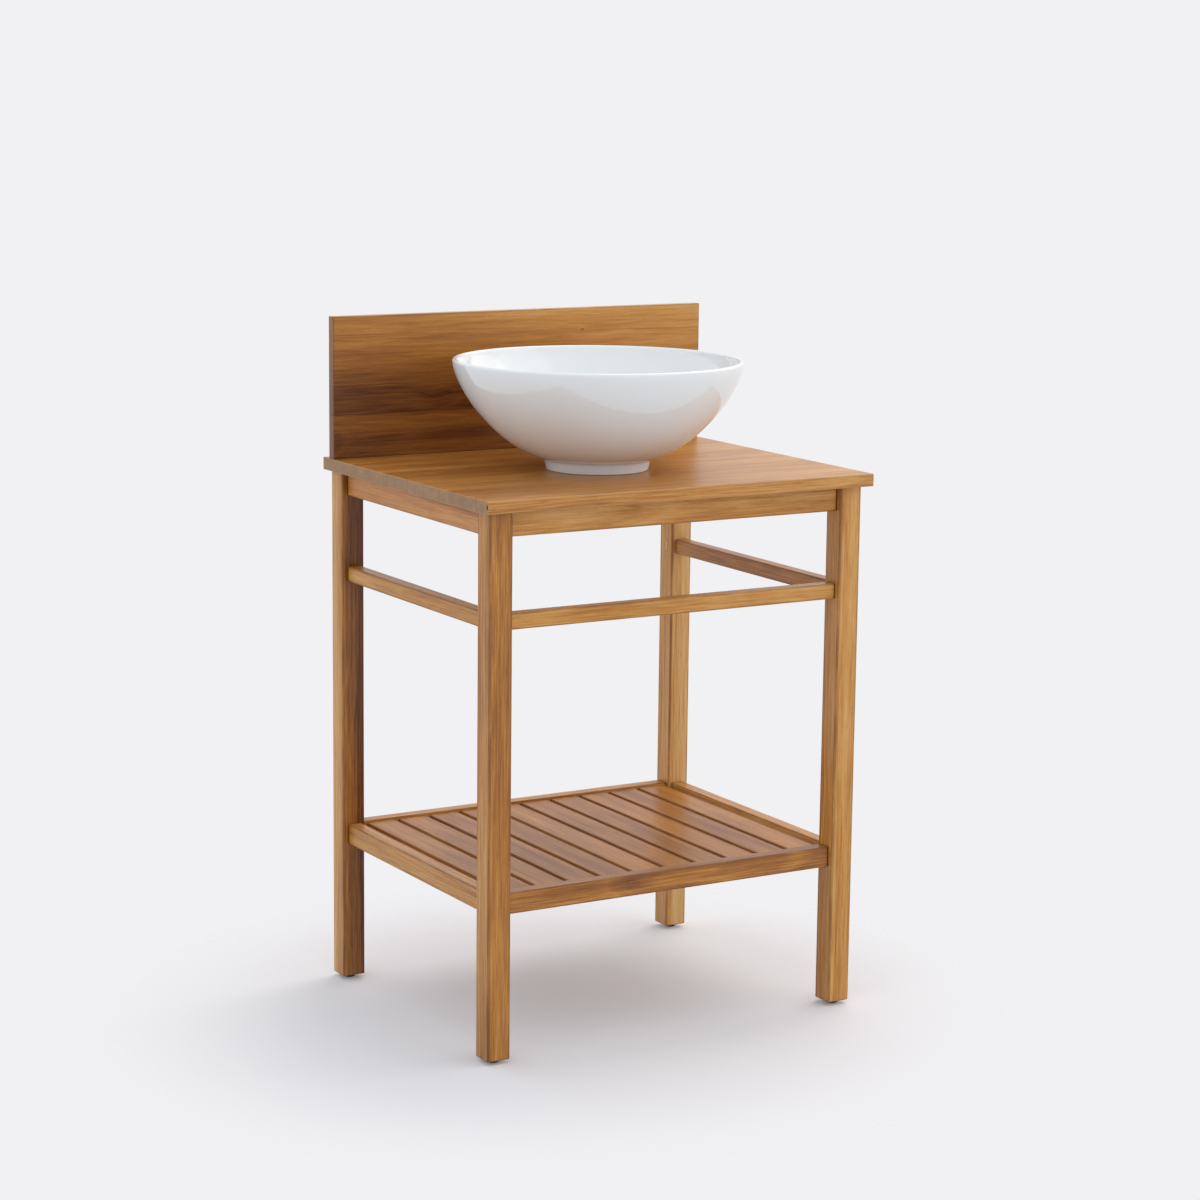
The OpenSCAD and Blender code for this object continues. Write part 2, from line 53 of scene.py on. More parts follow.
def toLinear(hexColour):
    parts = [int(hexColour[i:i + 2], 16) / 255 for i in (1, 3, 5)]
    return [c / 12.92 if c <= 0.04045 else ((c + 0.055) / 1.055) ** 2.4 for c in parts] + [1.0]


def addNode(tree, kind, inputs=(), stops=None, **settings):
    # one node, a shader node where kind is short; inputs fill its sockets in order, or by name, with values,
    # hex colours, sockets or other nodes
    node = tree.nodes.new(kind if "Node" in kind else "ShaderNode" + kind)
    for key, value in settings.items():
        setattr(node, key, value)
    if isinstance(inputs, dict):
        pairs = [(node.inputs[key], value) for key, value in inputs.items()]
    else:
        pairs = zip([socket for socket in node.inputs if socket.enabled], inputs)
    for socket, value in pairs:
        if isinstance(value, bpy.types.Node):
            value = next(output for output in value.outputs if output.enabled)
        if isinstance(value, bpy.types.NodeSocket):
            tree.links.new(value, socket)
        elif isinstance(value, str) and value.startswith("#"):
            socket.default_value = toLinear(value)
        elif value is not None:
            socket.default_value = value
    if stops:
        ramp = node.color_ramp
        while len(ramp.elements) < len(stops):
            ramp.elements.new(1.0)
        for element, (position, colour) in zip(ramp.elements, stops):
            element.position = position
            element.color = toLinear(colour)
    return node


def addChain(add, kind, value, *steps):
    # nodes in a row, where each operation works on the result before it
    for operation, *others in steps:
        value = add(kind, [value, *others], operation=operation)
    return value


def startNodes(owner):
    # the emptied material or world, and a function that adds a node to it
    owner.use_nodes = True
    owner.node_tree.nodes.clear()
    return owner, partial(addNode, owner.node_tree)


def endMaterial(add, colour, roughness, height, lift, others):
    # lift is the bump's strength, and its depth in millimetres
    bump = add("Bump", {"Strength": lift[0], "Distance": lift[1] * mm, "Height": height})
    surface = {"Base Color": colour, "Roughness": roughness, "Normal": bump, **others}
    add("OutputMaterial", [add("BsdfPrincipled", surface)])


def newGroup(name, kind, inputs, outputs):
    # the group, a function that adds a node to it, what its inputs give, and the inputs' identifiers
    tree = bpy.data.node_groups.new(name, kind)
    for way, sockets in (("INPUT", inputs), ("OUTPUT", outputs)):
        for label, socket in sockets.items():
            tree.interface.new_socket(name=label, in_out=way, socket_type="NodeSocket" + socket)
    keys = {item.name: item.identifier for item in tree.interface.items_tree if item.in_out == "INPUT"}
    add = partial(addNode, tree)
    return tree, add, add("NodeGroupInput").outputs, keys


def newObject(name, data):
    made = bpy.data.objects.new(name, data)
    bpy.context.scene.collection.objects.link(made)
    return made


# Camera at the photograph's viewing angle, square frame
cameraView = {
    "place": (-2204.33, -3756.28, 1366.68),
    "yaw": 0.53282,
    "pitch": -0.1778,
    "roll": 0.01125,
    "lens": 92.076,
    "sensor": 36,
}


def makeCamera(view):
    yaw, pitch, roll = view["yaw"], view["pitch"], view["roll"]
    ahead = Vector((math.sin(yaw) * math.cos(pitch), math.cos(yaw) * math.cos(pitch), math.sin(pitch)))
    right = Vector((math.cos(yaw), -math.sin(yaw), 0))
    up = right.cross(ahead)
    turnedRight = right * math.cos(roll) + up * math.sin(roll)
    turnedUp = up * math.cos(roll) - right * math.sin(roll)
    data = bpy.data.cameras.new("photoCamera")
    data.lens = view["lens"]
    data.sensor_width = view["sensor"]
    data.sensor_fit = "HORIZONTAL"
    camera = newObject("photoCamera", data)
    turn = Matrix((turnedRight, turnedUp, -ahead)).transposed().to_4x4()
    camera.matrix_world = Matrix.Translation(Vector(view["place"]) * mm) @ turn
    bpy.context.scene.camera = camera


makeCamera(cameraView)
print("camera placed")


# Meshes

def middleOf(node):
    low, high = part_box(node)
    return (low + high) / 2


def finishMesh(name, mesh, material, sharpAngle=35):
    mesh.name = name
    mesh.materials.clear()
    mesh.materials.append(material)
    mesh.shade_smooth()
    mesh.set_sharp_from_angle(angle=math.radians(sharpAngle))
    return newObject(name, mesh)


def takeMesh(shape):
    mesh = bpy.data.meshes.new("taken")
    shape.to_mesh(mesh)
    shape.free()
    return mesh


def joinMeshes(parts):
    shape = bmesh.new()
    for part in parts:
        shape.from_mesh(part)
    return takeMesh(shape)


def meshFrom(points, faces, marks=None):
    # merged and turned outwards; marks holds one value a point for each named attribute
    mesh = bpy.data.meshes.new("made")
    mesh.from_pydata([tuple(p) for p in points], [], faces)
    for label, values in (marks or {}).items():
        mesh.attributes.new(label, "FLOAT", "POINT").data.foreach_set("value", values)
    shape = bmesh.new()
    shape.from_mesh(mesh)
    bmesh.ops.remove_doubles(shape, verts=shape.verts, dist=1e-6)
    bmesh.ops.dissolve_degenerate(shape, dist=1e-7, edges=shape.edges)
    bmesh.ops.recalc_face_normals(shape, faces=shape.faces)
    shape.to_mesh(mesh)
    shape.free()
    return mesh


def bandFaces(count, *starts):
    # quads between rings of points, each ring given by the number of its first point
    return [(near + i, near + (i + 1) % count, far + (i + 1) % count, far + i)
            for near, far in zip(starts, starts[1:]) for i in range(count)]


def arcPoints(centreR, centreZ, radius, fromDeg, toDeg, steps):
    angles = [math.radians(fromDeg + (toDeg - fromDeg) * i / steps) for i in range(steps + 1)]
    return [(centreR + radius * math.cos(a), centreZ + radius * math.sin(a)) for a in angles]


def sectionOutline(halfW, halfH, radius, support, steps=5):
    # rounded rectangle, anticlockwise, with a support point on the flat beside each corner
    arcs = [arcPoints(y * (halfW - radius), z * (halfH - radius), radius, 90 * k, 90 * k + 90, steps)
            for k, (y, z) in enumerate(((1, 1), (-1, 1), (-1, -1), (1, -1)))]
    points = []
    for arc, following in zip(arcs, arcs[1:] + arcs[:1]):
        (y, z), (toY, toZ) = arc[-1], following[0]
        share = min(0.45, support / math.hypot(toY - y, toZ - z))
        points += [(*point, 1.0) for point in arc]
        points += [(y + (toY - y) * k, z + (toZ - z) * k, 0.0) for k in (share, 1 - share)]
    return points


def boardMesh(low, high, axes, settings, jointed=False):
    # a board between two corners, its length along axes[0], with rounded long edges and eased ends;
    # "edge" is 1 on the edges, and "joint" is 1 where a jointed board meets its leg
    low, high = Vector(low), Vector(high)
    length, width, thickness = [abs((high - low).dot(axis)) for axis in axes]
    halfW, halfH = width / 2, thickness / 2
    roundOver, ease = settings["roundOver"] * mm, settings["ease"] * mm
    support, sharpest, easeSteps = 1.2 * mm, 0.2 * mm, 3
    stations = [(0, ease + support, "cap")]
    for i in range(easeSteps + 1):
        a = math.radians(90 * (1 - i / easeSteps))
        stations.append((ease * (1 - math.sin(a)), ease * (1 - math.cos(a)), "worn"))
    stations.append((ease + support, 0, "flat"))
    stations += [(length - x, inset, mark) for x, inset, mark in reversed(stations)]
    points, edges, joints = [], [], []
    start = (low + high) / 2 - axes[0] * length / 2
    for x, inset, mark in stations:
        for y, z, worn in sectionOutline(halfW - inset, halfH - inset, max(roundOver - inset, sharpest), support):
            points.append(start + axes[0] * x + axes[1] * y + axes[2] * z)
            edges.append({"cap": 0.0, "worn": 1.0, "flat": worn}[mark])
            joints.append(float(jointed and mark != "flat"))
    base, count = len(points), len(points) // len(stations)
    faces = bandFaces(count, *range(0, base, count)) + [tuple(range(base - count, base))]
    first = 0
    if "hole" in settings:
        # the stud's hole in a leg's end
        radius, depth = [size * mm for size in settings["hole"]]
        for x in (0, depth):
            for y, z, worn in sectionOutline(halfW - ease - support, halfH - ease - support, sharpest, support):
                away = math.hypot(y, z)
                points.append(start + axes[0] * x + axes[1] * y * radius / away + axes[2] * z * radius / away)
                edges.append(0.0)
                joints.append(0.0)
        faces += bandFaces(count, 0, base, base + count)
        first = base + count
    faces.append(tuple(range(first, first + count)))
    return meshFrom(points, faces, {"edge": edges, "joint": joints})


def latheMesh(profile, centre, segments=96, closed=False, cut=None):
    # turns (radius, height) pairs in millimetres round the vertical line through centre;
    # cut gives a point's own radius from its radius, its height and its share of the turn
    points, faces, rows = [], [], len(profile)
    for i in range(segments):
        a = 2 * math.pi * i / segments
        for r, z in profile:
            if cut:
                r = cut(r, z, i / segments)
            points.append(Vector(centre) + Vector((r * mm * math.cos(a), r * mm * math.sin(a), z * mm)))
    for i in range(segments):
        j = (i + 1) % segments
        for k in range(rows if closed else rows - 1):
            m = (k + 1) % rows
            faces.append((i * rows + k, j * rows + k, j * rows + m, i * rows + m))
    return meshFrom(points, faces)


def threadCut(low, high, over, pitch, depth):
    # a helix in whatever lies further out than over, fading away towards both ends
    def cut(r, z, share):
        if not (low < z < high and r > over):
            return r
        turn = (z / pitch - share) % 1
        fade = min(1, (z - low) / pitch, (high - z) / pitch)
        return r - depth * abs(2 * turn - 1) * fade
    return cut


def place(piece, body, slot, *replaced):
    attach(piece, body)
    if replaced:
        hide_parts(*replaced)


# Oiled acacia: golden brown heartwood with fine, nearly straight grain, soft darker streaks and open pores.
# Planed and sanded, then wiped with oil, so it has a satin sheen; end grain drinks more oil and looks greyer.
woodPattern = {
    # length along the grain and width across it, in millimetres, then detail and roughness
    "layers": {
        "sway": (320, 70, 1, 0.5),
        "drift": (300, 500, 1, 0.5),
        "fibres": (80, 2.6, 5, 0.72),
        "streaks": (430, 13, 3, 0.5),
        "clouds": (600, 75, 1, 0.5),
        "gum": (700, 24, 1, 0.5),
        "gumHere": (170, 60, 1, 0.5),
        "pores": (13, 0.7, 1, 0.5),       # real pores are half as wide; coarser so that they show
        "wear": (60, 25, 2, 0.5),
    },
    "boardShift": (3.71, 1.37, 2.13),
    "weights": {"rings": 0.26, "fibres": 0.86, "streaks": 0.50, "clouds": 0.42},
    "ringSpacing": 5.0,
    "swaying": 9,
    "ringDrift": 40,
    "stops": [(0.0, "#5A2E12"), (0.3, "#9B6126"), (0.5, "#BD7F36"), (0.7, "#D29A51"), (1.0, "#E4B97B")],
    # where each mask starts and ends on its own measure, and how strongly it then covers
    "gum": "#55300F",
    "gumLine": (0.0, 0.016, 0.34, 0.0),
    "gumHere": (0.48, 0.64),
    "pores": (0.60, 0.74, 0.0, 0.26),
    "endGrain": (0.75, 0.97, 0.0, 0.66),
    "wear": (0.35, 0.60, 0.2, 0.6),
    "joint": "#2E1B0C",
    "jointAmount": 0.80,
    "roughness": 0.25,
    "rougher": {"fibres": 0.18, "endGrain": 0.35, "pores": 0.4},
    "raised": {"rings": 0.4, "pores": -2.0},
    # a glue line's dark and fading width, and its strength
    "glueLine": (0.15, 0.8, 0.6),
    # how far the patterns of planks and slats lie apart, and the slats' tones
    "plankSeed": 1.73,
    "slatSeed": 9.0,
    "slatTone": 0.06,
    # shares of a knot's reach that the grain bows, and of its heart that is fully dark
    "knotBow": 0.4,
    "knotDark": 0.3,
    "bruise": "#1C120B",
    "bruiseFade": (0.6, 1.0, 0.9, 0.0),
    "bump": (0.3, 0.2),
    "ior": 1.52,
}


def makeWoodGroup(look):
    tree, add, start = newGroup("oiledHardwood", "ShaderNodeTree", {
        "Grain": "Vector", "Seed": "Float", "Tone": "Float", "Figure": "Float", "Pith": "Vector", "Along": "Vector",
        "End": "Color", "Edge": "Color"}, {"Color": "Color", "Roughness": "Float", "Height": "Float"})[:3]
    # each board reads its own part of the pattern
    moved = addChain(add, "VectorMath", look["boardShift"], ("SCALE", start["Seed"]), ("ADD", start["Grain"]))
    layers = {}
    for layer, (length, width, detail, roughness) in look["layers"].items():
        scale = (1 / (length * mm), 1 / (width * mm), 1 / (width * mm))
        scaled = add("VectorMath", [moved, scale], operation="MULTIPLY")
        layers[layer] = add("TexNoise", {"Vector": scaled, "Scale": 1.0, "Detail": detail, "Roughness": roughness})

    # growth rings round the pith, with a slow drift along the board that draws the flames
    swaying = look["swaying"] * mm
    reach = addChain(add, "VectorMath", layers["sway"].outputs["Color"], ("SUBTRACT", (0.5, 0.5, 0.5)),
                     ("MULTIPLY_ADD", (0, swaying, swaying), start["Grain"]), ("SUBTRACT", start["Pith"]),
                     ("MULTIPLY", (0, 1, 1)), ("LENGTH",))
    reach = add("Math", [layers["drift"], look["ringDrift"] * mm, reach], operation="MULTIPLY_ADD")
    turns = add("Math", [reach, look["ringSpacing"] * mm], operation="DIVIDE")
    layers["rings"] = add("TexNoise", {"W": turns, "Scale": 1.0, "Detail": 2.0}, noise_dimensions="1D")

    figure = -sum(look["weights"].values()) / 2
    for layer, weight in look["weights"].items():
        figure = add("Math", [layers[layer], weight, figure], operation="MULTIPLY_ADD")
    tone = add("Math", [start["Tone"], 0.5], operation="ADD")
    tone = add("Math", [figure, start["Figure"], tone], operation="MULTIPLY_ADD")
    colour = add("ValToRGB", [tone], stops=look["stops"])

    # gum lines are the places where a slow noise crosses its middle
    gumFar = addChain(add, "Math", layers["gum"], ("SUBTRACT", 0.5), ("ABSOLUTE",))
    # end grain shows where a face looks along the board, and the edges keep a thin line of their own
    normal = add("NewGeometry").outputs["Normal"]
    facing = add("VectorMath", [normal, start["Along"]], operation="DOT_PRODUCT")
    facing = add("Math", [facing], operation="ABSOLUTE")
    masks = {name: add("MapRange", [source, *look[name]]) for name, source in (
        ("gumLine", gumFar), ("gumHere", layers["gumHere"]), ("pores", layers["pores"]), ("endGrain", facing),
        ("wear", layers["wear"]))}
    edge, joint = [add("Attribute", attribute_name=mark).outputs["Fac"] for mark in ("edge", "joint")]
    gum, worn, joined = [add("Math", pair, operation="MULTIPLY") for pair in (
        (masks["gumLine"], masks["gumHere"]), (edge, masks["wear"]), (joint, look["jointAmount"]))]
    for mask, over in ((gum, look["gum"]), (masks["pores"], look["gum"]), (masks["endGrain"], start["End"]),
                       (worn, start["Edge"]), (joined, look["joint"])):
        colour = add("Mix", [mask, colour, over], data_type="RGBA")

    rough, height, sources = look["roughness"], layers["fibres"], {**layers, **masks}
    for mask, amount in look["rougher"].items():
        rough = add("Math", [sources[mask], amount, rough], operation="MULTIPLY_ADD")
    for mask, amount in look["raised"].items():
        height = add("Math", [sources[mask], amount, height], operation="MULTIPLY_ADD")
    add("NodeGroupOutput", [colour, rough, height])
    return tree


woodGroup = makeWoodGroup(woodPattern)


def makeWood(name, centre, axes, seed, tone=0.0, pith=(8, -55), planks=None, comb=None, tint=None, knots=(),
             marks=None, lean=None, gloss=0.4, figure=1.0, endColour="#9C7D58", edgeColour="#70451F"):
    # planks lists (width, tone) across a glued panel; comb is the pitch of boards that share a material;
    # lean is the change of tone for each millimetre along the board, across it and through it;
    # gloss is lower where the oil soaked in and left less sheen; figure is how strongly the streaks show
    look = woodPattern
    material, add = startNodes(bpy.data.materials.new(name))
    turn = Matrix([tuple(a) for a in axes])
    coords = add("Mapping", {"Vector": add("TexCoord").outputs["Object"], "Location": -(turn @ Vector(centre)),
                             "Rotation": turn.to_euler("XYZ")})
    along, across, deep = add("SeparateXYZ", [coords]).outputs
    crossPlace, seam, knotMask, darker = across, None, None, []
    seedHere, toneHere = seed, tone
    if planks:
        edge = -sum(width for width, shift in planks) / 2
        middleHere, toneHere = (edge + planks[0][0] / 2) * mm, tone + planks[0][1]
        for (width, shift), (nextWidth, nextShift) in zip(planks, planks[1:]):
            edge += width
            past = add("Math", [across, edge * mm], operation="GREATER_THAN")
            steps = (((width + nextWidth) / 2 * mm, middleHere), (nextShift - shift, toneHere),
                     (look["plankSeed"], seedHere))
            middleHere, toneHere, seedHere = [add("Math", [past, step, before], operation="MULTIPLY_ADD")
                                              for step, before in steps]
            away = addChain(add, "Math", across, ("SUBTRACT", edge * mm), ("ABSOLUTE",))
            seam = add("Math", [seam, away], operation="MINIMUM") if seam else away
        across = add("Math", [across, middleHere], operation="SUBTRACT")
    if comb:
        across = add("Math", [across, comb / 2 * mm, -comb / 2 * mm], operation="WRAP")
        own = add("Attribute", attribute_name="boardSeed").outputs["Fac"]
        spreads = ((look["slatSeed"], seed), (look["slatTone"], tone - look["slatTone"] / 2))
        seedHere, toneHere = [add("Math", [own, spread, least], operation="MULTIPLY_ADD") for spread, least in spreads]
    if lean:
        paler = add("VectorMath", [coords, Vector(lean) / mm], operation="DOT_PRODUCT")
        toneHere = add("Math", [paler, toneHere], operation="ADD")
    for knot in knots:
        # the grain bows round a knot, which is darker at its heart
        reach, heart = knot["reach"] * mm, knot["heart"] * mm
        run = addChain(add, "Math", along, ("SUBTRACT", knot["along"] * mm), ("MULTIPLY", 0.5))
        rise = add("Math", [crossPlace, knot["across"] * mm], operation="SUBTRACT")
        away = add("VectorMath", [add("CombineXYZ", [run, rise])], operation="LENGTH")
        near = add("MapRange", [away, 0.0, reach, 1.0, 0.0], interpolation_type="SMOOTHSTEP")
        across = add("Math", [near, reach * look["knotBow"], across], operation="MULTIPLY_ADD")
        dark = add("MapRange", [away, heart * look["knotDark"], heart, knot["depth"], 0.0])
        knotMask = add("Math", [knotMask, dark], operation="MAXIMUM") if knotMask else dark
    wood = add("Group", {
        "Grain": add("CombineXYZ", [along, across, deep]), "Seed": seedHere, "Tone": toneHere,
        "Figure": figure, "Pith": Vector((0, *pith)) * mm, "Along": axes[0], "End": endColour, "Edge": edgeColour,
    }, node_tree=woodGroup)
    colour = wood.outputs["Color"]
    if tint:
        colour = add("Mix", [1.0, colour, tint], data_type="RGBA", blend_type="MULTIPLY")
    if knotMask:
        darker.append((knotMask, look["gum"]))
    if seam:
        # a glue line is a dark thread, drawn wider than a real one so that it shows
        dark, fading, amount = look["glueLine"]
        darker.append((add("MapRange", [seam, dark * mm, fading * mm, amount, 0.0]), look["gum"]))
    if marks:
        # a small dark bruise on each front corner
        mirrored = add("CombineXYZ", [add("Math", [along], operation="ABSOLUTE"), crossPlace, deep])
        away = addChain(add, "VectorMath", mirrored, ("SUBTRACT", Vector(marks["place"]) * mm),
                        ("MULTIPLY", [1 / (s * mm) for s in marks["size"]]), ("LENGTH",))
        darker.append((add("MapRange", [away, *look["bruiseFade"]]), look["bruise"]))
    for mask, over in darker:
        colour = add("Mix", [mask, colour, over], data_type="RGBA")
    endMaterial(add, colour, wood.outputs["Roughness"], wood.outputs["Height"], look["bump"],
                {"IOR": look["ior"], "Specular IOR Level": gloss})
    return material


def makeFinish(name, base, spot, grit, roughness, metallic=0.0, ior=None, bump=0.05, amount=0.5):
    # a plain finish with fine mottling: grit is the size of its grain in millimetres
    material, add = startNodes(bpy.data.materials.new(name))
    coords = add("TexCoord").outputs["Object"]
    grain = add("TexNoise", {"Vector": coords, "Scale": 1 / (grit * mm), "Detail": 3.0})
    blend = add("MapRange", [grain, 0.4, 0.65, 0.0, amount])
    colour = add("Mix", [blend, base, spot], data_type="RGBA")
    # from 0.8 to 1.2 times the roughness
    rough = add("Math", [grain, roughness * 0.4, roughness * 0.8], operation="MULTIPLY_ADD")
    # a metal's IOR is None and keeps the usual value
    endMaterial(add, colour, rough, grain, (0.4, bump), {"Metallic": metallic, "IOR": ior})
    return material


# Vitreous china under a white gloss glaze: a hard mirror over soft, cool white, very slightly uneven.
# The foot's unglazed ring is dull cream biscuit.
glazeLook = {"white": "#F0F2F2", "cloud": "#EBEEEE", "cloudSize": 140, "peelSize": 60, "peelDepth": 0.02,
             "roughness": 0.01, "ior": 1.74}


def makeGlaze(look):
    material, add = startNodes(bpy.data.materials.new("whiteGlaze"))
    coords = add("TexCoord").outputs["Object"]
    peel, cloud = [add("TexNoise", {"Vector": coords, "Scale": 1 / (size * mm), "Detail": detail})
                   for size, detail in ((look["peelSize"], 1.0), (look["cloudSize"], 2.0))]
    colour = add("Mix", [cloud, look["white"], look["cloud"]], data_type="RGBA")
    rough = add("Math", [cloud, 0.01, look["roughness"] - 0.005], operation="MULTIPLY_ADD")
    endMaterial(add, colour, rough, peel, (0.5, look["peelDepth"]), {"IOR": look["ior"]})
    return material


glaze = makeGlaze(glazeLook)
biscuit = makeFinish("unglazedBiscuit", "#DAD2C4", "#C2B7A4", 0.8, 0.85, ior=1.5)
# Chrome plate: a dark mirror with hardly any grain
chrome = makeFinish("chromePlate", "#D9DBDD", "#C9CCCF", 6, 0.08, metallic=1.0, bump=0.004, amount=0.3)
# Bright zinc plate: grey with a faint blue cast and a fine crystalline mottle
zinc = makeFinish("zincPlate", "#B4B9BE", "#949BA3", 1.2, 0.34, metallic=1.0, bump=0.01)
# Turned brass, dulled in the wood
brass = makeFinish("turnedBrass", "#C2A25A", "#A2803E", 1.5, 0.32, metallic=1.0, bump=0.01)
# Moulded polyethylene pad: black, waxy, faintly pebbled
blackPad = makeFinish("mouldedPolyethylene", "#211F1D", "#34312E", 0.5, 0.5, ior=1.5, bump=0.04)
# Black nitrile rubber with a bloom of dust
rubber = makeFinish("nitrileRubber", "#222323", "#3A3B3B", 0.7, 0.72, ior=1.52, bump=0.05)
# Acetal cartridge, smooth and black
acetal = makeFinish("blackAcetal", "#1D1E20", "#2B2D30", 2.0, 0.38, ior=1.48, bump=0.01)
print("materials made")

# Boards: the directions along, across and through each kind
lengthwise = (xAxis, yAxis, zAxis)
frontFace = (xAxis, zAxis, -yAxis)
sideways = (yAxis, zAxis, xAxis)
upright = (zAxis, xAxis, yAxis)
slatwise = (yAxis, -xAxis, zAxis)

legs = {
    "roundOver": 2.5,
    "ease": 1.2,
    "hole": (3.05, 28.5),
    # pattern seed, then the tones of the left face and the front face
    "looks": {"front_left": (1.3, -0.03, -0.12), "front_right": (4.7, 0.04, 0.15), "back_left": (8.2, 0.14, -0.29),
              "back_right": (11.9, 0.14, 0.33)},
}
rails = {
    "roundOver": 1.5,
    "ease": 1.6,
    # face, pattern seed and tone of each
    "looks": {
        "apron_front": (frontFace, 21.3, 0.05), "apron_back": (frontFace, 24.1, -0.04),
        "apron_left": (sideways, 27.7, 0.06), "apron_right": (sideways, 31.2, -0.02),
        "towel_rail_front": (frontFace, 35.9, 0.17), "towel_rail_left": (sideways, 38.4, 0.02),
        "towel_rail_right": (sideways, 41.6, 0.02), "shelf_rail_front": (frontFace, 44.8, -0.10),
        "shelf_rail_back": (frontFace, 47.5, 0.0), "shelf_rail_left": (sideways, 51.1, 0.02),
        "shelf_rail_right": (sideways, 54.3, 0.04), "cleat_front": (frontFace, 57.9, -0.06),
        "cleat_back": (frontFace, 60.2, -0.06),
    },
    "tints": {"apron_left": "#FFF2F2"},
}


def addBoard(node, axes, settings, seed, slot, box=None, jointed=False, **look):
    low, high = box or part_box(node)
    material = makeWood(node + "_wood", (low + high) / 2, axes, seed, **look)
    mesh = boardMesh(low, high, axes, settings, jointed)
    place(finishMesh(node + "_board", mesh, material), "frame", slot, node)


for corner in corners:
    node = "leg_" + corner
    low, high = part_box(node)
    seed, side, front = legs["looks"][corner]
    lean = (front - side) / ((high.x - low.x) / mm)
    addBoard(node, upright, legs, seed, "frame_wood", tone=(side + front) / 2, pith=(-18, -38), figure=1.2,
             lean=(0, lean, -lean))

innerLow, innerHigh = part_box("leg_front_left")[1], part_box("leg_back_right")[0]
for node, (axes, seed, tone) in rails["looks"].items():
    low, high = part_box(node)
    cleat = "cleat" in node
    if not cleat:
        # the tenons stay hidden in the legs, so the board runs from leg to leg
        run = 0 if axes is frontFace else 1
        low[run], high[run] = innerLow[run], innerHigh[run]
    addBoard(node, axes, rails, seed, "slat_wood" if cleat else "frame_wood", (low, high), not cleat, tone=tone,
             pith=(6, -42), figure=1.2, tint=rails["tints"].get(node))
print("legs and rails built")

# Edge-glued panels: plank widths and tones from the front edge back, and from the worktop up
worktop = {
    "roundOver": 1.5,
    "ease": 0.8,
    "look": {
        "planks": [(30, 0.06), (109, -0.03), (91, 0.02), (76, -0.05), (83, 0.02), (111, -0.05)],
        "pith": (4, -70),
        "knots": [{"along": 70, "across": -50, "heart": 3.5, "reach": 14, "depth": 0.35}],
        "marks": {"place": (309.6, -249.6, 1), "size": (1.3, 1.8, 4.5)},
        "lean": (0.0003, 0, 0),
        "gloss": 0.5,
        "figure": 1.2,
        "edgeColour": "#B98C55",
        "endColour": "#937B60",
    },
}
splashback = {
    "roundOver": 1.0,
    "ease": 0.8,
    "look": {
        "planks": [(63, -0.05), (42, -0.29), (100, -0.17)],
        "pith": (-6, -60),
        "knots": [{"along": 103, "across": 70, "heart": 2.2, "reach": 9, "depth": 0.7},
                  {"along": -150, "across": -16, "heart": 20, "reach": 17, "depth": 0.10}],
        "lean": (0.0004, 0.0023, 0),
        "gloss": 0.36,
        "figure": 0.75,
        "edgeColour": "#5D4034",
        "endColour": "#8A6A52",
    },
}
addBoard("worktop", lengthwise, worktop, 3.3, "worktop_wood", **worktop["look"])
addBoard("splashback", frontFace, splashback, 15.3, "worktop_wood", **splashback["look"])
print("worktop and splashback built")


# Geometry Nodes: one tree lays boards side by side, the other sets fasteners on their points
def newTree(name, inputs):
    return newGroup(name, "GeometryNodeTree", {"Geometry": "Geometry", **inputs}, {"Geometry": "Geometry"})


def endTree(add, instances, finish):
    real = add("GeometryNodeRealizeInstances", [instances])
    done = add("GeometryNodeSetMaterial", {"Geometry": real, "Material": finish})
    add("NodeGroupOutput", [done])


def makeRowTree():
    tree, add, start, keys = newTree("boardsInARow", {"Board": "Object", "Count": "Int", "Step": "Vector",
                                                      "Finish": "Material", "Seed": "Int"})
    line = add("GeometryNodeMeshLine", {"Count": start["Count"], "Offset": start["Step"]})
    board = add("GeometryNodeObjectInfo", {"Object": start["Board"]}, transform_space="ORIGINAL")
    row = add("GeometryNodeInstanceOnPoints", {"Points": line, "Instance": board.outputs["Geometry"]})
    chance = add("FunctionNodeRandomValue", {"Seed": start["Seed"]}, data_type="FLOAT")
    marked = add("GeometryNodeStoreNamedAttribute", {"Geometry": row, "Name": "boardSeed",
                                                     "Value": chance.outputs[1]}, data_type="FLOAT",
                 domain="INSTANCE")
    endTree(add, marked, start["Finish"])
    return tree, keys


def makePointsTree():
    tree, add, start, keys = newTree("partsOnPoints", {"Part": "Object", "Finish": "Material", "Seed": "Int",
                                                       "Turn": "Float"})
    part = add("GeometryNodeObjectInfo", {"Object": start["Part"]}, transform_space="ORIGINAL")
    heading = add("GeometryNodeInputNamedAttribute", {"Name": "heading"}, data_type="FLOAT_VECTOR")
    facing = add("FunctionNodeAlignRotationToVector", {"Vector": heading}, axis="Z")
    # Turn is the most that a part is turned about its own axis, as a share of a full turn
    chance = add("FunctionNodeRandomValue", {"Seed": start["Seed"]}, data_type="FLOAT")
    angle = addChain(add, "Math", chance.outputs[1], ("MULTIPLY", start["Turn"]), ("MULTIPLY", 2 * math.pi))
    twist = add("FunctionNodeAxisAngleToRotation", {"Axis": (0, 0, 1), "Angle": angle})
    turned = add("FunctionNodeRotateRotation", {"Rotation": facing, "Rotate By": twist}, rotation_space="LOCAL")
    spread = add("GeometryNodeInstanceOnPoints", {"Points": start["Geometry"], "Rotation": turned,
                                                  "Instance": part.outputs["Geometry"]})
    endTree(add, spread, start["Finish"])
    return tree, keys


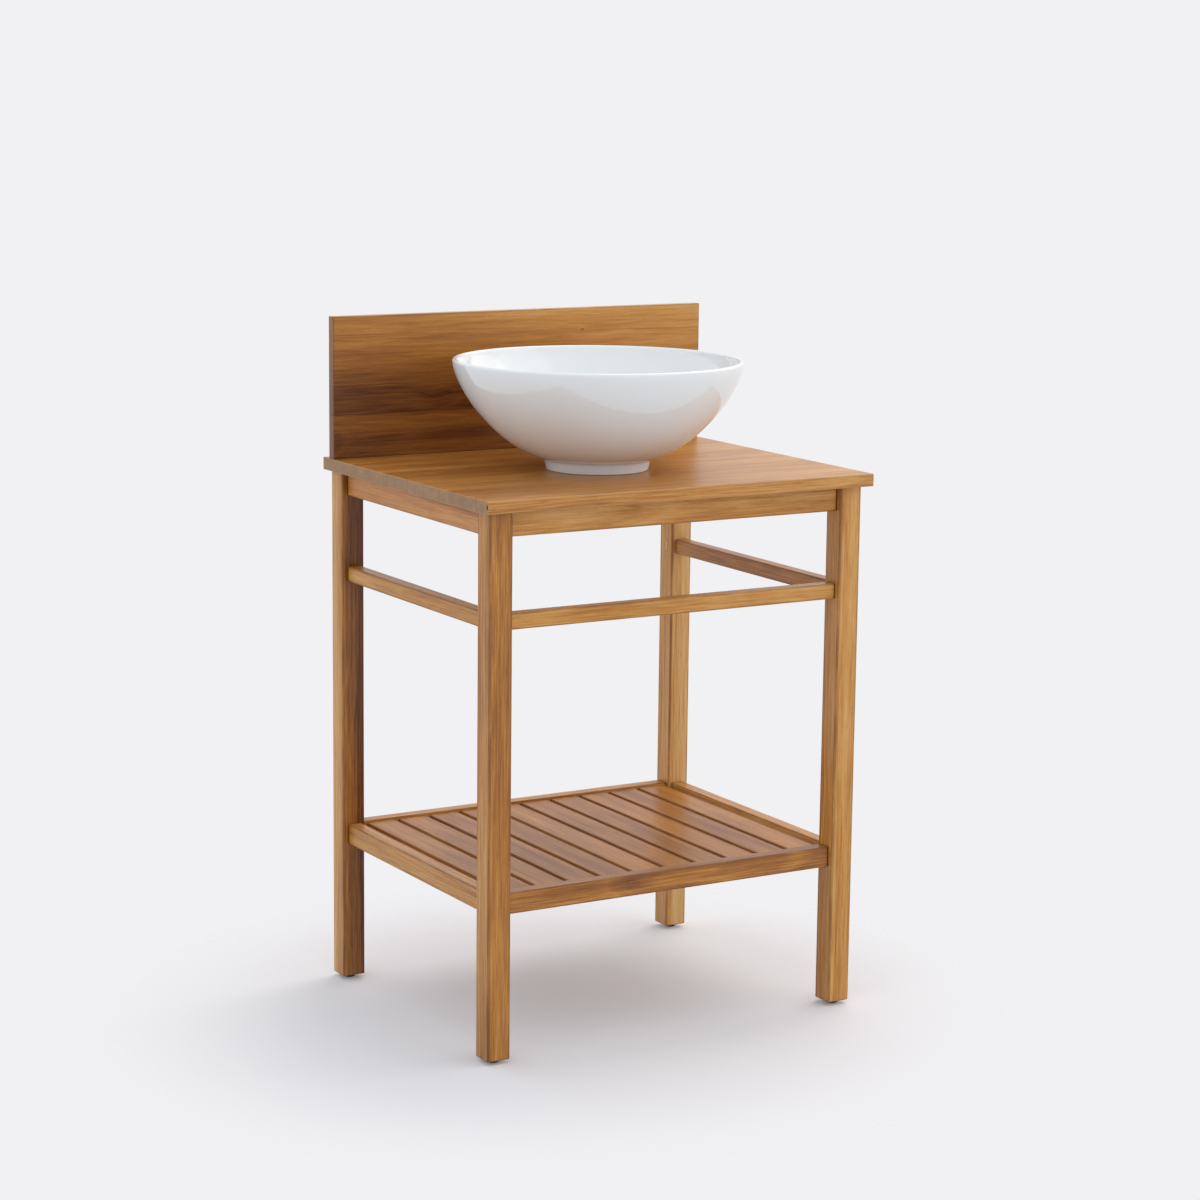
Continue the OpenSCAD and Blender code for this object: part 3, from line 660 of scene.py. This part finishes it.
def bakeMesh(carrier, *helpers):
    # the mesh that an object's modifiers give; the object and its helpers are then removed
    graph = bpy.context.evaluated_depsgraph_get()
    mesh = bpy.data.meshes.new_from_object(carrier.evaluated_get(graph))
    for extra in (carrier, *helpers):
        bpy.data.objects.remove(extra)
    return mesh


def runTree(made, values, mesh, *helpers):
    # evaluates a tree once on a mesh
    tree, keys = made
    carrier = newObject("carrier", mesh)
    modifier = carrier.modifiers.new("nodes", "NODES")
    modifier.node_group = tree
    for label, value in values.items():
        modifier[keys[label]] = value
    return bakeMesh(carrier, *helpers)


def pointsMesh(spots):
    # spots are (place, heading) pairs in metres
    mesh = bpy.data.meshes.new("points")
    mesh.from_pydata([tuple(p) for p, heading in spots], [], [])
    flat = [c for p, heading in spots for c in heading]
    mesh.attributes.new("heading", "FLOAT_VECTOR", "POINT").data.foreach_set("vector", flat)
    return mesh


rowTree, pointsTree = makeRowTree(), makePointsTree()

slats = {"count": 10, "roundOver": 1.5, "ease": 1.0, "seed": 7}
firstLow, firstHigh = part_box("slat_1")
firstMiddle = (firstLow + firstHigh) / 2
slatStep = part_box("slat_2")[0] - firstLow
slatWood = makeWood("slat_wood_grain", firstMiddle, slatwise, 64.6, tone=-0.12, pith=(5, -48), comb=slatStep.x / mm,
                    gloss=0.3, figure=0.75)
slatPattern = finishMesh("slat_pattern", boardMesh(firstLow, firstHigh, slatwise, slats), slatWood)
made = runTree(rowTree, {"Board": slatPattern, "Count": slats["count"], "Step": slatStep, "Finish": slatWood,
                         "Seed": slats["seed"]}, bpy.data.meshes.new("slat_line"), slatPattern)
place(finishMesh("shelf_slats", made, slatWood), "frame", "slat_wood",
      *["slat_%d" % (i + 1) for i in range(slats["count"])])
print("shelf slats laid")

# Fasteners: a cross recess in each head, and a rolled thread on each shank
screws = {
    "slat_screws": {"d": 3.5, "length": 20, "head": "sunk", "seed": 3},
    "cleat_screws": {"d": 3.5, "length": 28, "head": "sunk", "seed": 5},
    "splashback_screws": {"d": 4.5, "length": 45, "head": "sunk", "seed": 8},
    "bracket_screws": {"d": 3.5, "length": 14, "head": "pan", "seed": 11},
}
# pitch, threadDepth and cross are shares of a shank's width
screwForm = {
    "plain": 3.0, "pitch": 0.42, "threadDepth": 0.16, "sunkBy": 0.2, "panHeight": 2.2, "dome": 1.1,
    "cross": (1.05, 0.24, 0.9), "tapers": ((0, 0.35, 0.6), (90, 0.595, 0.35)),
}


def screwMesh(form, d, length, head, seed):
    # its head is twice as wide as its shank; a sunk one lies a little below the surface
    half, pitch, top, plain = d / 2, form["pitch"] * d, form["sunkBy"], form["plain"]
    profile = [(0, top), (d - 0.25, top), (d, top + 0.15), (half, top + d - half)]
    if head == "pan":
        top, dome = -form["panHeight"], form["dome"]
        profile = [(0, top), (d * 0.55, top), *arcPoints(d - dome, -dome, dome, -90, 0, 4), (d, 0), (half, 0)]
    rows = int((length - d - 4) / pitch * 6)
    profile += [(half, plain + (length - d - plain) * k / rows) for k in range(rows + 1)]
    profile += [(half * 0.4, length - 0.6), (0, length)]
    cut = threadCut(plain + 0.2, length - d, half * 0.9, pitch, form["threadDepth"] * d)
    body = newObject("screw", latheMesh(profile, (0, 0, 0), 20, cut=cut))
    # the recess is cut by a tapered cross
    shape = bmesh.new()
    for turn, taperX, taperY in form["tapers"]:
        size = Matrix.Diagonal([d * share * mm for share in form["cross"]] + [1])
        arm = Matrix.Rotation(math.radians(turn), 4, "Z") @ size
        for vert in bmesh.ops.create_cube(shape, size=1.0, matrix=arm)["verts"]:
            if vert.co.z > 0:
                vert.co.x *= taperX
                vert.co.y *= taperY
    bmesh.ops.translate(shape, verts=shape.verts, vec=(0, 0, top * mm))
    cutter = newObject("cross", takeMesh(shape))
    recess = body.modifiers.new("recess", "BOOLEAN")
    recess.operation = "DIFFERENCE"
    recess.solver = "EXACT"
    recess.use_self = True
    recess.object = cutter
    return bakeMesh(body, cutter)


cleatFront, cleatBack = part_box("cleat_front"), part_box("cleat_back")
cleatLow, cleatMiddle = cleatFront[0].z, middleOf("cleat_front").z
cleatRows = [middleOf("cleat_front").y, middleOf("cleat_back").y]
splashLow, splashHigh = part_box("splashback")
splashStep = (splashHigh.x - splashLow.x) / 8
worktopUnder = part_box("worktop")[0].z
bracket = {"width": 20, "leg": 25, "steel": 2, "hole": 12, "x": 150, "bend": 2.5}
# cleat screws lie between the slats' own; the splashback's stand an eighth of its length in from each end
spots = {
    "slat_screws": [(Vector((firstMiddle.x + slatStep.x * i, y, cleatLow)), zAxis)
                    for i in range(slats["count"]) for y in cleatRows],
    "cleat_screws": [(Vector((side * slatStep.x, y, cleatMiddle)), way) for side in (-4, -1, 1, 4)
                     for y, way in ((cleatFront[1].y, -yAxis), (cleatBack[0].y, yAxis))],
    "splashback_screws": [(Vector((k * splashStep, middleOf("splashback").y, worktopUnder)), zAxis)
                          for k in (-3, -1, 1, 3)],
    "bracket_screws": [],
}
bracketSpots = []
for x in (-bracket["x"] * mm, bracket["x"] * mm):
    for y, way in ((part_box("apron_front")[1].y, yAxis), (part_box("apron_back")[0].y, -yAxis)):
        spot = Vector((x, y, worktopUnder))
        steel, hole = bracket["steel"] * mm, bracket["hole"] * mm
        bracketSpots.append((spot, way))
        spots["bracket_screws"] += [(spot + way * steel - zAxis * hole, -way),
                                    (spot + way * hole - zAxis * steel, zAxis)]

for node, size in screws.items():
    pattern = finishMesh(node + "_pattern", screwMesh(screwForm, **size), zinc, 40)
    made = runTree(pointsTree, {"Part": pattern, "Finish": zinc, "Seed": size["seed"], "Turn": 1.0},
                   pointsMesh(spots[node]), pattern)
    place(finishMesh(node + "_set", made, zinc, 40), "frame", "zinc_steel", node)


def bracketMesh(width, leg, steel, bend, **others):
    # an L of bent strip: local Z points away from its apron, local X runs along the apron
    outer, inner = arcPoints(bend, bend, bend, 180, 270, 6), arcPoints(bend, bend, bend - steel, 270, 180, 6)
    outline = [(0, leg), *outer, (leg, 0), (leg, steel), *inner, (steel, leg)]
    points = [Vector((x, -drop, out)) * mm for x in (-width / 2, width / 2) for out, drop in outline]
    count = len(outline)
    ends = [tuple(range(count)), tuple(range(count, 2 * count))]
    return meshFrom(points, bandFaces(count, 0, count) + ends)


brackets = [bracketMesh(**bracket) for spot in bracketSpots]
for mesh, (spot, way) in zip(brackets, bracketSpots):
    turn = Matrix((zAxis.cross(way), zAxis, way)).transposed()
    mesh.transform(Matrix.Translation(spot) @ turn.to_4x4())
place(finishMesh("angle_brackets", joinMeshes(brackets), zinc), "frame", "zinc_steel", "top_brackets")
print("fasteners set")

# Filled mortises on the inner faces of the back legs, a hair proud after sanding
fillings = {"proud": 0.15, "deep": 4, "steps": 12, "rounded": 0.35, "line": 0.5, "lineEnd": 0.8, "dark": 1.7}


def fillerMesh(proud, deep, steps, rounded, line, lineEnd, dark):
    low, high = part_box("mortise_plugs")
    y, z = (low.y + high.y) / 2, (low.z + high.z) / 2
    radius = (high.y - low.y) / 2
    lift = (high.z - low.z) / 2 - radius
    angles = [math.pi * (k + 0.5) / steps for k in range(2 * steps)]
    outline = [(math.cos(a), math.sin(a), lift if a < math.pi else -lift) for a in angles]
    points, faces, edges, count = [], [], [], len(outline)
    for face, way in ((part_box("leg_back_left")[1].x, 1), (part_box("leg_back_right")[0].x, -1)):
        base = len(points)
        for out, inset, shade in ((-deep, 0, dark), (0, 0, dark), (proud, rounded, dark), (proud, line, dark),
                                  (proud, lineEnd, 0)):
            r = radius - inset * mm
            points += [Vector((face + way * out * mm, y + r * c, z + rise + r * s)) for c, s, rise in outline]
            edges += [shade] * count
        rings = range(base, len(points), count)
        faces += bandFaces(count, *rings) + [tuple(range(i, i + count)) for i in (rings[0], rings[-1])]
    return meshFrom(points, faces, {"edge": edges})


fillingWood = makeWood("mortise_filling_wood", middleOf("mortise_plugs"), upright, 71.0, tone=0.30,
                       edgeColour="#3A2210")
place(finishMesh("mortise_fillings", fillerMesh(**fillings), fillingWood), "frame", "slat_wood", "mortise_plugs")

# Basin: one turned shape, its side a rounded curve between a cone and an ellipse
basin = {
    "rim": 206, "height": 156, "wall": 7, "curve": 1.5, "drain": 22.45, "floor": 21, "floorFlat": 33, "knee": 75,
    "foot": 75, "footHeight": 15, "footWall": 10, "hollow": 12, "footEdge": 2, "footLow": 73.2, "footRound": 2.4,
    "footHollow": 3.4, "steps": 56,
}
basinSpot = middleOf("basin")
basinSpot.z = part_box("basin")[0].z


def basinProfile(rim, height, wall, curve, drain, floor, floorFlat, knee, foot, footHeight, footWall, hollow,
                 footEdge, footLow, footRound, footHollow, steps):
    low, sideTop, under = foot - footEdge, height - wall / 2, foot - footWall

    def side(k):
        reach = (1 - (1 - k) ** curve) ** (1 / curve)
        return Vector((low + (rim - low) * reach, footHeight + (sideTop - footHeight) * k))

    heights = [(i / steps) ** 2 for i in range(steps + 1)]
    cove = arcPoints(foot + footHollow, footHeight + 0.75 - footHollow, footHollow, 180, 92, 8)
    outer = [p for p in (side(k) for k in heights) if p.x > cove[-1][0] + 1]
    inner = []
    for k in reversed(heights):
        along = side(min(1, k + 0.001)) - side(max(0, k - 0.001))
        inner.append(side(k) + Vector((-along.y, along.x)).normalized() * wall)
    # the bowl's floor runs into the wall in a soft curve
    inner = [p for p in inner if p.x > knee]
    start, end = inner[-1], Vector((floorFlat, floor))
    slope = (inner[-1] - inner[-2]).normalized()
    bend = start + slope * ((floor + 0.4 - start.y) / slope.y)
    soft = [start * (1 - i / 12) ** 2 + bend * 2 * (i / 12) * (1 - i / 12) + end * (i / 12) ** 2
            for i in range(1, 13)]
    return [(drain, floor), (drain, hollow + 1), (drain + 1, hollow),
            (under + 1, hollow), (under, hollow - 1), (under, 1), (under + 1, 0),
            *arcPoints(footLow - footRound, footRound, footRound, -90, 0, 6), *cove, *outer,
            *arcPoints(rim - wall / 2, sideTop, wall / 2, 12, 168, 13), *inner, *soft]


vessel = finishMesh("vessel_basin", latheMesh(basinProfile(**basin), basinSpot, 192, True), glaze, 50)
vessel.data.materials.append(biscuit)
for face in vessel.data.polygons:
    # only the ring that the basin stood on in the kiln is bare
    if face.normal.z < -0.7 and face.center.z < basinSpot.z + 0.7 * mm:
        face.material_index = 1
place(vessel, "frame", "basin_glaze", "basin")
print("basin turned")

# Waste: flanged tail with a G 1 1/4 thread, back nut, click-clack plug
waste = {
    "bore": 18.95, "tail": 20.95, "bottom": -80, "reliefLow": -35, "reliefHigh": -33, "reliefDepth": 0.6,
    "flange": 31.95, "flangeUnder": 22.5, "flangeTop": 25, "mouth": 21.95, "mouthDepth": 4,
    "seat": 17.95, "seatLow": -10, "seatHigh": 9, "pitch": 2.309, "threadDepth": 1.15,
}
hub = {"bore": 7.05, "radius": 9.5, "low": 1, "high": 9, "rib": 2.5, "ribFrom": 9, "ribTo": 18.75, "edge": 0.4}
nut = {
    "flats": 54, "height": 9, "under": -31.5, "bore": 21.0, "bevelFrom": 0.985, "bevelSlope": 1.7,
    "rows": (0, 0.4, 0.8, 1.3, 1.9, 2.6, 6.4, 7.1, 7.7, 8.2, 8.6, 9.0),
}
cap = {"radius": 30, "under": 25.3, "height": 5, "edge": 1.5, "neck": 16, "neckLow": 23.3, "stem": 3, "stemLow": -8}


def wasteMesh(bore, tail, bottom, reliefLow, reliefHigh, reliefDepth, flange, flangeUnder, flangeTop, mouth,
              mouthDepth, seat, seatLow, seatHigh, pitch, threadDepth):
    start, groove = bottom + 0.5, tail - reliefDepth
    rows = int((reliefLow - bottom) / pitch * 8)
    profile = [(bore, bottom), (tail - 0.5, bottom), *[(tail, start + (reliefLow - start) * k / rows)
                                                       for k in range(rows + 1)],
               (groove, reliefLow), (groove, reliefHigh), (tail, reliefHigh), (tail, flangeUnder),
               (flange, flangeUnder), *arcPoints(flange - 1, flangeTop - 1, 1, 0, 90, 5), (mouth + 0.5, flangeTop),
               (mouth - 0.2, flangeTop - 0.3), (bore, flangeTop - mouthDepth), (bore, seatHigh + 1),
               (seat, seatHigh), (seat, seatLow), (bore, seatLow)]
    cut = threadCut(start, reliefLow, groove, pitch, threadDepth)
    return latheMesh(profile, basinSpot, 72, True, cut)


def hubMesh(bore, radius, low, high, rib, ribFrom, ribTo, edge):
    # three ribs hold the ring that the cartridge sits in
    shape = bmesh.new()
    shape.from_mesh(latheMesh([(bore, low), (radius, low), (radius, high), (bore, high)], basinSpot, 48, True))
    size = Matrix.Diagonal(((ribTo - ribFrom) * mm, rib * mm, (high - low) * mm, 1))
    out = Matrix.Translation(Vector(((ribTo + ribFrom) / 2, 0, (high + low) / 2)) * mm)
    for a in (0, 120, 240):
        turn = Matrix.Translation(basinSpot) @ Matrix.Rotation(math.radians(a), 4, "Z")
        made = bmesh.ops.create_cube(shape, size=1.0, matrix=turn @ out @ size)["verts"]
        rims = {line for vert in made for line in vert.link_edges}
        bmesh.ops.bevel(shape, geom=list(rims), offset=edge * mm, segments=2, affect="EDGES")
    return takeMesh(shape)


place(finishMesh("waste_tail", joinMeshes([wasteMesh(**waste), hubMesh(**hub)]), chrome, 32), "frame",
      "waste_chrome", "waste_body")


def nutMesh(flats, height, under, bore, bevelFrom, bevelSlope, rows):
    # six flats, with both faces chamfered by a cone
    def cut(r, z, share):
        if r == bore:
            return r
        corner = flats / 2 / math.cos((2 * math.pi * share + math.pi / 6) % (math.pi / 3) - math.pi / 6)
        return min(corner, flats / 2 * bevelFrom + bevelSlope * min(z - under, height + under - z))

    profile = [(bore, under), *[(flats, z + under) for z in rows], (bore, height + under)]
    return latheMesh(profile, basinSpot, 144, True, cut)


def capProfile(radius, under, height, edge, neck, neckLow, stem, stemLow):
    dome = [(radius * x, under + edge + (height - edge) * z) for x, z in arcPoints(0, 0, 1, 0, 90, 15)]
    return [(0, stemLow), (stem - 0.4, stemLow), (stem, stemLow + 0.4), (stem, neckLow), (neck, neckLow),
            (neck, under), (radius - 0.5, under), (radius, under + 0.5), *dome[:-1], (0, under + height)]


place(finishMesh("back_nut", nutMesh(**nut), chrome, 25), "frame", "waste_chrome", "waste_nut")
place(finishMesh("plug_cap", latheMesh(capProfile(**cap), basinSpot), chrome, 32), "plug", "waste_chrome",
      "drain_plug")
print("waste fitted")

# Glides: a domed pad on a threaded stud under each leg
glides = {"pad": 9.5, "height": 5.7, "dome": 4.0, "groove": 0.35, "stud": 3.0, "studTop": 33.7, "pitch": 1.0,
          "threadDepth": 0.55}


def glideProfiles(pad, height, dome, groove, stud, studTop, pitch, **others):
    rows = int((studTop - height - 1) / pitch * 6)
    shank = [(stud, height + (studTop - height - 0.6) * k / rows) for k in range(rows + 1)]
    return ([(0, 0), *arcPoints(pad - dome, dome, dome, -90, 0, 10), (pad, height - 1.3),
             (pad - groove, height - 1.0), (pad - groove, height - 0.7), (pad, height - 0.4), (pad - 0.3, height),
             (0, height)],
            [(0, height), *shank, (stud - 0.6, studTop), (0, studTop)])


padProfile, studProfile = glideProfiles(**glides)
studCut = threadCut(glides["height"] + 0.3, glides["studTop"] - 0.4, glides["stud"] - 0.4, glides["pitch"],
                    glides["threadDepth"])
for corner in corners:
    foot = middleOf("glide_pad_" + corner)
    foot.z = 0
    for name, mesh, finish, slot in (
            ("pad", latheMesh(padProfile, foot, 64), blackPad, "black_plastic"),
            ("stud", latheMesh(studProfile, foot, 24, cut=studCut), zinc, "zinc_steel")):
        place(finishMesh(name + "_" + corner, mesh, finish, 50), "glide_" + corner, slot,
              "glide_" + name + "_" + corner)
print("glides fitted")

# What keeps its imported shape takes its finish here
for node, finish in {"leg_inserts": brass, "waste_gasket": rubber, "waste_rubber_washer": rubber, "plug_seal": rubber,
                     "waste_metal_washer": zinc, "plug_cartridge": acetal}.items():
    for slot in cadNodes[node].material_slots:
        slot.material = finish

# Pale floor in an even white room, with three broad soft lights from the right: the shadow falls to the left.
# Part of the floor's paleness is a glow that is only seen and lights nothing, and the light that the floor sends back
# up is held down, so that the object's underside stays as dark as the photograph's.
studio = {
    "backdrop": "#F1F1F3",
    "air": "#EDF2F9",
    "sun": "#FFEEDE",
    "room": 1.02,
    # direction from the front towards the right, height above the floor, spread, strength
    "lights": {"highRight": (124, 58, 34, 0.57), "lowRight": (92, 28, 50, 0.44), "frontRight": (45, 30, 50, 0.33)},
    "floorShare": 0.88,
    "floorLevel": 1.07,
    "floorBounce": 0.58,
    "floorHalf": 4200,
    # past the shadow the floor melts into the backdrop
    "fadeAround": (-70, -50, 0),
    "fadeFrom": 380,
    "fadeTo": 800,
}


def addSun(name, colour, turn, height, spread, strength):
    data = bpy.data.lights.new(name, "SUN")
    data.color = toLinear(colour)[:3]
    data.energy = strength
    data.angle = math.radians(spread)
    lamp = newObject(name, data)
    turn, height = math.radians(turn), math.radians(height)
    towards = Vector((math.cos(height) * math.sin(turn), -math.cos(height) * math.cos(turn), math.sin(height)))
    lamp.rotation_euler = towards.to_track_quat("Z", "Y").to_euler()
    lamp.visible_camera = False


def addSeen(add):
    # 1 for what the camera sees, also in a mirror or through glass
    rays = add("LightPath").outputs
    return addChain(add, "Math", rays["Is Camera Ray"], ("MAXIMUM", rays["Is Glossy Ray"]),
                    ("MAXIMUM", rays["Is Transmission Ray"]))


def makeStudio(look):
    world, add = startNodes(bpy.data.worlds.new("studio"))
    bpy.context.scene.world = world
    seen = addSeen(add)
    strength = add("MapRange", [seen, 0.0, 1.0, look["room"], 1.0])
    shade = add("Mix", [seen, look["air"], look["backdrop"]], data_type="RGBA")
    sky = add("Background", {"Color": shade, "Strength": strength})
    add("OutputWorld", {"Surface": sky})
    for name, settings in look["lights"].items():
        addSun(name, look["sun"], *settings)
    mesh = bpy.data.meshes.new("studioFloor")
    half = look["floorHalf"] * mm
    mesh.from_pydata([(-half, -half, 0), (half, -half, 0), (half, half, 0), (-half, half, 0)], [], [(0, 1, 2, 3)])
    material, add = startNodes(bpy.data.materials.new("paleFloor"))
    seen = addSeen(add)
    pale = [c * look["floorShare"] / look["floorLevel"] for c in toLinear(look["backdrop"])[:3]] + [1]
    colour = add("Mix", [seen, [look["floorBounce"]] * 3 + [1], pale], data_type="RGBA")
    matt = add("BsdfDiffuse", {"Color": colour})
    glow = add("Math", [seen, 1 - look["floorShare"]], operation="MULTIPLY")
    shine = add("Emission", {"Color": look["backdrop"], "Strength": glow})
    both = add("AddShader", [matt, shine])
    coords = add("TexCoord").outputs["Object"]
    away = add("VectorMath", [coords, Vector(look["fadeAround"]) * mm], operation="DISTANCE")
    fade = add("MapRange", [away, look["fadeFrom"] * mm, look["fadeTo"] * mm], interpolation_type="SMOOTHSTEP")
    fade = add("Math", [fade, seen], operation="MULTIPLY")
    mixed = add("MixShader", [fade, both, add("BsdfTransparent")])
    add("OutputMaterial", {"Surface": mixed})
    mesh.materials.append(material)
    floor = newObject("studioFloor", mesh)


makeStudio(studio)
bpy.context.scene.view_settings.view_transform = "Standard"
print("studio lit")
